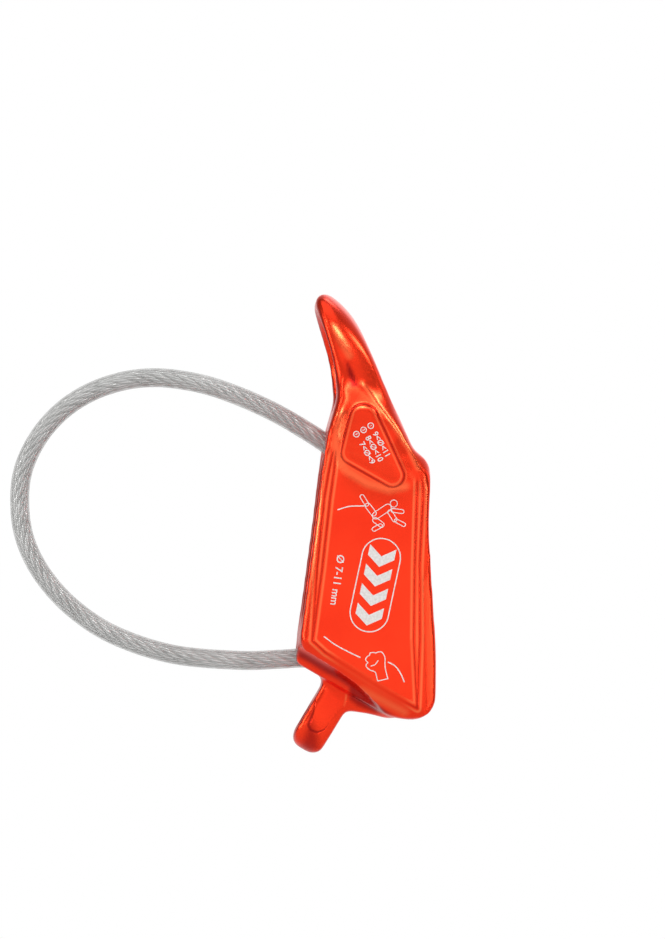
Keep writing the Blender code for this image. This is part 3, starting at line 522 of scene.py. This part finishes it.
places = body_places()
flat = places[:, [0, 2]]
depth_in = signed_gap(flat, pad_outline)
for side in (-1, 1):
    own = (places[:, 1] * side > plate_face) & (depth_in > -0.0003)
    level = own & (depth_in > 0.0012)
    terms = np.c_[flat, np.ones(len(flat))]
    slope = np.linalg.lstsq(terms[level], places[level, 1], rcond=None)[0]
    share = ramp(depth_in[own], -0.0002, 0.0005)
    places[own, 1] += (terms[own] @ slope - places[own, 1]) * share
    places[own, 1] += side * 0.00010 * np.exp(-((depth_in[own] - 0.00075) / 0.00030) ** 2)
pad_edge = ramp(0.0014 - np.abs(depth_in), 0.0, 0.0006) * (np.abs(places[:, 1]) > plate_face)
places = relaxed(places, 10, pad_edge, pulls=(0.5,), along=across_plates)
loop_end = in_metres([(-4.55, -11.1), (10.0, -15.2)])
drawn = ramp(distance_to(flat, loop_end), 0.0004, 0.0022)
drawn *= ramp(np.linalg.norm(flat - loop_end[1], axis=1), 0.0012, 0.0034)
past_corner = ramp(flat[:, 0], -0.0070, -0.0030) * ramp(0.0100 - flat[:, 0], 0.0, 0.0030)
drawn *= 1 - 0.85 * past_corner * (flat[:, 1] < -0.0455)
right_ridge = in_metres([(0.6, -0.6), (1.6, -1.7), (4.2, -5.2), (8.4, -11.9), (10.0, -15.3)])
pad_rim = in_metres([
    (-3.4, -5.6), (-4.0, -8.2), (-4.4, -11.2), (-4.0, -13.3), (-2.5, -15.8), (1.1, -18.0), (4.9, -19.1),
    (7.7, -18.5),
])
raise_along(places, right_ridge, 0.00014, 0.00060)
raise_along(places, pad_rim, 0.00012, 0.00070)
set_places(places)
body.data.shade_smooth()

# The finish reads how far each place is from the grooves and the crests, which the skin keeps in millimetres,
# and how strongly the borders are drawn and the hollows painted with shade there, from 0 to 1. It paints
# highlights along the crests, the ribs and the pad's rims, and shade in the grooves and the hollows.
flat = places[:, [0, 2]]
depth = np.abs(places[:, 1])
gaps = [signed_gap(flat, loop) for loop in (pad_outline, inner_border, outer_border)]
gaps = [np.where(depth > plate_face, gap, np.sign(gap) * no_line_near) for gap in gaps]
normals = np.empty(len(flat) * 3)
body.data.vertices.foreach_get("normal", normals)
outward = ramp(np.abs(normals.reshape(-1, 3)[:, 1]), 0.35, 0.75)
drawn *= outward
on_lug = (depth < lug_half) & (flat[:, 1] < -0.0505)
lug_left = ramp(-0.0060 - flat[:, 0] - 0.35 * (flat[:, 1] + 0.058), 0.0, 0.0035)
lug_left *= ramp(-flat[:, 1], 0.0515, 0.0570)
gaps[0] = np.where(on_lug, signed_gap(flat, lug_face) / (0.05 + 1.5 * lug_left), gaps[0])
drawn[on_lug] = 0
ear_crest = in_metres([(-4.5, 10.0), (-3.6, 7.6), (-2.6, 6.0), (-1.9, 4.7)])
band_crest = in_metres([(0.2, -54.2), (3.3, -55.8), (7.7, -58.1)])
lug_crest = in_metres([(-2.2, -52.6), (-2.1, -54.6), (-2.6, -57.2)])
# Crests along which highlights are painted: the ear's right ridge, the pad's rim, the ear's streak and the
# lower band, and on the lug its own crest.
crest_gap = np.minimum.reduce([
    distance_to(flat, right_ridge), distance_to(flat, pad_rim) * 0.6, distance_to(flat, ear_crest) * 0.7,
    distance_to(flat, band_crest) * 0.45 + 0.0002,
])
crest_gap = np.where(on_lug, distance_to(flat, lug_crest) * 2.5, crest_gap)
crest_gap[(depth < plate_inside) & ~on_lug] = no_line_near
# Painted shade in the pocket where the ear's ridges part, in the hollow under the lower band and on the lug's
# tip.
painted_shade_share = ramp(signed_gap(flat, pocket), -0.00035, 0.00045) * (depth > 0.0085)
under_band = ramp(signed_gap(flat, scoop_shade), -0.0004, 0.0007) * ramp(0.0146 - depth, 0.0, 0.0008)
lug_tip = ramp(signed_gap(flat, lug_shade), -0.0009, 0.0009) * (depth < lug_half)
painted_shade_share = np.maximum.reduce([painted_shade_share, 0.9 * under_band, 0.75 * lug_tip])
ring_gap = np.where(on_lug, no_line_near, gaps[0])
for name, values in (
    ("pad_gap", gaps[0] * 1000), ("ring_gap", ring_gap * 1000), ("inner_gap", gaps[1] * 1000),
    ("outer_gap", gaps[2] * 1000), ("crest_gap", crest_gap * 1000), ("drawn", drawn),
    ("pocket", painted_shade_share),
):
    body.data.attributes.new(name, "FLOAT", "POINT").data.foreach_set("value", values)

anodised, nodes, links, shader = new_material("orange-red anodised aluminium")
shader.inputs["Metallic"].default_value = 0.86
grain = mottled(3600.0, 3.0)
dye = mottled(90.0, 2.0, 0.3, 0.7, (0.90, 0.034, 0.0075), (0.97, 0.046, 0.0105))


def attribute(name):
    """A value that the skin keeps for each of its places."""
    value = nodes.new("ShaderNodeAttribute")
    value.attribute_name = name
    return value.outputs["Fac"]


def near_line(gap, inner, outer):
    """A mask that is 1 within inner millimetres of the lines and falls smoothly to 0 at outer."""
    return scaled(calculated("ABSOLUTE", gap), 1.0, 0.0, inner, outer, smooth=True)


def mixed(share, strength, under, over):
    """The colour under a layer whose share is a mask, at a constant strength."""
    mix = nodes.new("ShaderNodeMix")
    mix.data_type = "RGBA"
    mix.inputs["B"].default_value = over
    links.new(calculated("MULTIPLY", share, strength), mix.inputs["Factor"])
    links.new(under, mix.inputs["A"])
    return mix.outputs["Result"]


inner_gap, outer_gap = (calculated("ABSOLUTE", attribute(name)) for name in ("inner_gap", "outer_gap"))
borders = calculated("MINIMUM", inner_gap, outer_gap)
pad_line = near_line(attribute("pad_gap"), 0.05, 0.24)
border_line = calculated("MULTIPLY", near_line(borders, 0.03, 0.20), attribute("drawn"))
groove_shade = calculated("MAXIMUM", pad_line, calculated("MULTIPLY", border_line, 0.7))
pad_cut = near_line(attribute("pad_gap"), 0.0, 0.36)
border_cut = calculated("MULTIPLY", near_line(borders, 0.0, 0.30), attribute("drawn"))
rib_line = near_line(calculated("SUBTRACT", borders, 0.52), 0.05, 0.34)
ribs = calculated("MULTIPLY", rib_line, attribute("drawn"))
crest_line = near_line(attribute("crest_gap"), 0.05, 0.80)
crests = calculated("MAXIMUM", calculated("MULTIPLY", crest_line, 0.80), ribs)
inner_ring = near_line(calculated("SUBTRACT", attribute("ring_gap"), 0.47), 0.06, 0.26)
outer_ring = near_line(calculated("ADD", attribute("ring_gap"), 0.42), 0.03, 0.22)
rings = calculated(
    "MAXIMUM", calculated("MULTIPLY", inner_ring, 0.75), calculated("MULTIPLY", outer_ring, 0.55),
)
# Painted highlights: a paler orange along the crests, the ribs beside the borders and the rims of the pad's
# groove.
dye_with_painted_highlights = mixed(calculated("MAXIMUM", crests, rings), 0.66, dye["Color"], (1.0, 0.19, 0.065, 1))
# Painted shade: dark red in the pad's groove and the borders' grooves.
lined = mixed(groove_shade, 0.68, dye_with_painted_highlights, (0.24, 0.003, 0.003, 1))
# Painted shade: dark red in the pocket, under the lower band and on the lug's tip.
dye_with_painted_light = mixed(attribute("pocket"), 0.90, lined, (0.28, 0.002, 0.003, 1))
links.new(dye_with_painted_light, shader.inputs["Base Color"])
links.new(scaled(grain["Share"], 0.21, 0.29), shader.inputs["Roughness"])
pores = raised(grain["Share"], 0.03, 0.00002)
cut_in = raised(calculated("MAXIMUM", pad_cut, border_cut), 0.4, 0.00014)
cut_in.invert = True
links.new(cut_in.outputs["Normal"], pores.inputs["Normal"])
links.new(pores.outputs["Normal"], shader.inputs["Normal"])
body.data.materials.clear()
body.data.materials.append(anodised)
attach(body, "device")
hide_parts("forged_body")

# Laser marks: pale lines burnt through the dye on both side plates, in this model's own plain designs. They
# show which end of the rope is the climber's and which is the hand's, the way the rope runs, and which ropes
# fit.
line_half_width = 0.20
fine_half_width = 0.14
hand_half_width = 0.16
first_lift = 0.015
lift_step = 0.00003
mark_places = []
mark_faces = []


def add_mark(places, faces):
    """Keeps a flat shape of (x, z) places in millimetres, a hair higher than the last so that none meet."""
    start = len(mark_places)
    lift = first_lift + lift_step * len(mark_faces)
    mark_places.extend([(x, z, lift) for x, z in places])
    mark_faces.extend([[start + i for i in face] for face in faces])


def stroke(points, closed=False, half_width=line_half_width):
    """A line of even width through (x, z) points in millimetres, with mitred corners."""
    points = np.asarray(points, dtype=float)
    before = np.roll(points, 1, axis=0) if closed else np.vstack([points[:1], points[:-1]])
    after = np.roll(points, -1, axis=0) if closed else np.vstack([points[1:], points[-1:]])
    ahead = after - points
    behind = points - before
    if not closed:
        ahead[-1] = behind[-1]
        behind[0] = ahead[0]
    ahead /= np.linalg.norm(ahead, axis=1)[:, None]
    behind /= np.linalg.norm(behind, axis=1)[:, None]
    across = np.stack([-(ahead + behind)[:, 1], (ahead + behind)[:, 0]], axis=1)
    across /= np.maximum(np.sum(across ** 2, axis=1), 0.8)[:, None]
    count = len(points)
    places = np.vstack([points + across * half_width, points - across * half_width])
    steps = count if closed else count - 1
    faces = [(i, (i + 1) % count, count + (i + 1) % count, count + i) for i in range(steps)]
    add_mark(places, faces)


def curve(points, step):
    """A smooth curve through (x, z) points."""
    return smooth_route(np.array([(x, 0, z) for x, z in points]), step)[:, [0, 2]]


def ring(centre, radius, start=0.0, end=2 * math.pi):
    """Places round a ring or an arc."""
    turn = np.linspace(start, end, 25)
    return np.array(centre) + radius * np.stack([np.cos(turn), np.sin(turn)], axis=1)


def limb(a, b, radius):
    """A stroke round a straight limb with round ends."""
    a, b = np.array(a), np.array(b)
    lean = math.atan2(b[1] - a[1], b[0] - a[0])
    outline = [*ring(b, radius, lean - math.pi / 2, lean + math.pi / 2)[::3],
               *ring(a, radius, lean + math.pi / 2, lean + 3 * math.pi / 2)[::3]]
    stroke(outline, closed=True, half_width=fine_half_width)


def lettering(words, centre, lean, height, far):
    """Plain figures, centred, that lean by an angle in the plate's face."""
    bpy.ops.object.select_all(action="DESELECT")
    bpy.ops.object.text_add()
    text = bpy.context.object
    text.data.body = words
    text.data.size = height * 1.4
    text.data.align_x = "CENTER"
    text.data.align_y = "CENTER"
    text.data.resolution_u = 4
    text.data.offset = 0.02
    bpy.ops.object.convert(target="MESH")
    way = -1 if far else 1
    right = way * np.array([math.cos(math.radians(lean)), math.sin(math.radians(lean))])
    up = way * np.array([-right[1], right[0]])
    places = [np.array(centre) + v.co.x * right + v.co.y * up for v in text.data.vertices]
    add_mark(places, [list(face.vertices) for face in text.data.polygons])
    bpy.data.objects.remove(text)


def draw_marks(far):
    """All marks of one side plate."""
    # A jointed figure, with a rope that runs in from the left.
    stroke(curve([(-4.1, -22.6), (-2.0, -22.0), (0.9, -21.9)], 0.5))
    stroke(ring((5.75, -21.5), 0.62)[:-1], closed=True, half_width=fine_half_width)
    for a, b, radius in (
        ((4.7, -22.2), (2.6, -23.6), 0.62), ((2.2, -23.2), (1.2, -21.9), 0.48),
        ((1.0, -21.6), (0.2, -20.3), 0.36), ((2.5, -24.4), (3.6, -25.2), 0.46),
        ((3.4, -25.4), (2.3, -26.0), 0.36), ((5.1, -23.0), (5.9, -24.3), 0.40),
        ((6.2, -24.5), (7.5, -25.2), 0.32), ((5.6, -22.7), (7.2, -22.9), 0.34),
    ):
        limb(a, b, radius)

    # Four arrowheads, one after the other down a frame with round ends.
    lean = math.radians(-102)
    along = np.array([math.cos(lean), math.sin(lean)])
    aside = np.array([-along[1], along[0]])
    centre = np.array([2.5, -35.8])
    end_radius = 3.4
    to_end = along * 4.9
    to_next = along * 3.5
    wing_reach = aside * 2.35
    wing_sweep = -along * 1.7
    thickness = -along * 1.9
    stroke([*ring(centre + to_end, end_radius, lean - math.pi / 2, lean + math.pi / 2)[:-1],
            *ring(centre - to_end, end_radius, lean + math.pi / 2, lean + 3 * math.pi / 2)[:-1]], closed=True)
    for k in range(4):
        tip = centre + to_next * (k - 1.5) + along * 2.0
        for side in (-1, 1):
            wing_tip = tip + wing_reach * side + wing_sweep
            add_mark([tip, wing_tip, wing_tip + thickness, tip + thickness], [(0, 1, 2, 3)])

    # A fist that holds the rope.
    stroke(curve([(-6.5, -44.8), (-4.6, -46.2), (-2.4, -47.4), (-0.1, -48.5)], 0.5))
    stroke(curve([(4.7, -49.3), (5.9, -49.9), (6.9, -51.2), (7.6, -52.8)], 0.5))
    knuckles = [
        (2.9, -52.6), (2.5, -51.1), (1.6, -50.7), (1.0, -50.2), (0.9, -49.7), (1.2, -49.4), (0.8, -48.9),
        (1.1, -48.3), (1.5, -48.1), (1.6, -47.7), (2.2, -47.6), (2.6, -47.7), (3.1, -47.5), (3.7, -47.6),
        (4.2, -48.5), (4.2, -49.6), (4.3, -50.6), (4.7, -52.2),
    ]
    stroke([*curve(knuckles, 0.2), knuckles[0]], half_width=hand_half_width)
    stroke(curve([(1.7, -50.0), (2.5, -49.7), (3.0, -49.0)], 0.3), half_width=hand_half_width)

    # The rope sizes: the whole range on the flat field, and three numbered ranges on the pad.
    lettering("\u00d8 7-11 mm", (-4.2, -34.9), -98, 1.35, far)
    for k, sizes in enumerate(("9<\u00d8<11", "8<\u00d8<10", "7<\u00d8<9")):
        dot = np.array([1.75 - 1.27 * k, -7.8 - 0.75 * k])
        stroke(ring(dot, 0.50)[:-1], closed=True, half_width=0.15)
        lettering(str(k + 1), dot, -61, 0.42, far)
        lettering(sizes, dot + 3.8 * np.array([0.485, -0.875]), -61, 1.02, far)


skin_tree = BVHTree.FromObject(body, bpy.context.evaluated_depsgraph_get())
marked_places = []
marked_faces = []
for far in (False, True):
    mark_places.clear()
    mark_faces.clear()
    draw_marks(far)
    side = 1 if far else -1
    start = len(marked_places)
    for x, z, lift in mark_places:
        hit = skin_tree.ray_cast(Vector((x / 1000, side * 0.03, z / 1000)), Vector((0, -side, 0)))[0]
        marked_places.append((x / 1000, hit.y + side * lift / 1000, z / 1000))
    marked_faces += [[start + i for i in face] for face in mark_faces]
marks_mesh = bpy.data.meshes.new("laser_marks")
marks_mesh.from_pydata(marked_places, [], marked_faces)
shape = bmesh.new()
shape.from_mesh(marks_mesh)
for face in shape.faces:
    face.normal_update()
    if face.normal.y * face.calc_center_median().y < 0:
        face.normal_flip()
shape.to_mesh(marks_mesh)
shape.free()
marks = bpy.data.objects.new("laser_marks", marks_mesh)
bpy.context.scene.collection.objects.link(marks)
burnt, nodes, links, shader = new_material("laser marked oxide")
shader.inputs["Roughness"].default_value = 0.62
oxide = mottled(2600.0, 3.0, 0.3, 0.7, (0.58, 0.54, 0.52), (0.74, 0.72, 0.71))
links.new(oxide["Color"], shader.inputs["Base Color"])
marks.data.materials.append(burnt)
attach(marks, "device")

# Studio: a plain pale floor that fades to the white surround, and large soft lamps all round.
middle = Vector((0, 0, -0.025))
bpy.ops.object.select_all(action="DESELECT")
bpy.ops.mesh.primitive_plane_add(size=0.9, location=(0.0, 0.0, -0.125))
floor = bpy.context.object
floor.name = "floor"
paper, nodes, links, shader = new_material("white paper")
shader.inputs["Roughness"].default_value = 0.85
place = nodes.new("ShaderNodeTexCoord")
from_middle = nodes.new("ShaderNodeVectorMath")
from_middle.operation = "LENGTH"
links.new(place.outputs["Object"], from_middle.inputs[0])
rays = nodes.new("ShaderNodeLightPath")
paper_tone = nodes.new("ShaderNodeMix")
paper_tone.data_type = "RGBA"
paper_tone.inputs["A"].default_value = (0.78, 0.78, 0.78, 1)
paper_tone.inputs["B"].default_value = (0.86, 0.86, 0.86, 1)
links.new(rays.outputs["Is Camera Ray"], paper_tone.inputs["Factor"])
links.new(paper_tone.outputs["Result"], shader.inputs["Base Color"])
fade = scaled(from_middle.outputs["Value"], 0.0, 1.0, 0.10, 0.30, smooth=True)
shown = calculated("MULTIPLY", fade, rays.outputs["Is Camera Ray"])
glow = nodes.new("ShaderNodeEmission")
blend_white = nodes.new("ShaderNodeMixShader")
links.new(shown, blend_white.inputs["Fac"])
links.new(shader.outputs[0], blend_white.inputs[1])
links.new(glow.outputs[0], blend_white.inputs[2])
links.new(blend_white.outputs[0], nodes["Material Output"].inputs["Surface"])
floor.data.materials.append(paper)

world = bpy.data.worlds.new("studio")
bpy.context.scene.world = world
world.use_nodes = True
nodes, links = world.node_tree.nodes, world.node_tree.links
air = nodes["Background"]
air.inputs["Color"].default_value = (1, 1, 1, 1)
rays = nodes.new("ShaderNodeLightPath")
around = nodes.new("ShaderNodeTexCoord")
behind = nodes.new("ShaderNodeVectorMath")
behind.operation = "DOT_PRODUCT"
behind.inputs[1].default_value = (0.5, 0.87, 0.0)
links.new(around.outputs["Generated"], behind.inputs[0])
sky = nodes.new("ShaderNodeValToRGB")
sky.color_ramp.interpolation = "EASE"
sky.color_ramp.elements[0].position = 0.0
sky.color_ramp.elements[0].color = (0.55, 0.55, 0.55, 1)
sky.color_ramp.elements[1].position = 1.0
sky.color_ramp.elements[1].color = (0.80, 0.80, 0.80, 1)
for spot, grey in ((0.30, 0.38), (0.44, 0.16), (0.60, 0.14), (0.82, 0.50)):
    sky.color_ramp.elements.new(spot).color = (grey, grey, grey, 1)
links.new(scaled(behind.outputs["Value"], 0.0, 1.0, -1.0, 1.0), sky.inputs["Fac"])
seen = nodes.new("ShaderNodeMix")
seen.data_type = "RGBA"
seen.inputs["B"].default_value = (1, 1, 1, 1)
links.new(rays.outputs["Is Camera Ray"], seen.inputs["Factor"])
links.new(sky.outputs["Color"], seen.inputs["A"])
links.new(seen.outputs["Result"], air.inputs["Color"])

for name, turned, raised_by, away, width, tall, radiance in (
    ("front", 3, 7, 1.4, 1.1, 0.86, 0.58),
    ("left side", -82, 14, 1.0, 0.35, 0.60, 2.0),
    ("right side", 100, 14, 1.0, 0.45, 0.60, 1.0),
    ("rim", -27, -5, 1.0, 0.26, 0.06, 7.0),
    ("ear streak", 14, 47, 1.0, 0.13, 0.26, 19.0),
    ("right edge", 38, 2, 1.0, 0.06, 0.70, 9.0),
    ("right high", 66, 46, 1.0, 0.18, 0.20, 20.0),
    ("left edge", -66, 8, 1.0, 0.08, 0.70, 15.0),
    ("left high", -42, 47, 1.0, 0.13, 0.13, 20.0),
    ("overhead", 0, 85, 0.9, 0.70, 0.50, 1.2),
    ("far side", 170, 20, 1.3, 0.80, 0.80, 0.50),
    ("far high", 150, 55, 1.1, 0.30, 0.30, 3.0),
):
    turned, raised_by = math.radians(turned), math.radians(raised_by)
    spot = Vector((
        math.sin(turned) * math.cos(raised_by), -math.cos(turned) * math.cos(raised_by), math.sin(raised_by),
    )) * away
    lamp = bpy.data.lights.new(name, "AREA")
    lamp.shape = "RECTANGLE"
    lamp.size = width
    lamp.size_y = tall
    lamp.energy = radiance * math.pi * width * tall
    lamp_object = bpy.data.objects.new(name, lamp)
    lamp_object.location = spot + middle
    lamp_object.rotation_euler = (-spot).to_track_quat("-Z", "Y").to_euler()
    lamp_object.visible_camera = False
    bpy.context.scene.collection.objects.link(lamp_object)
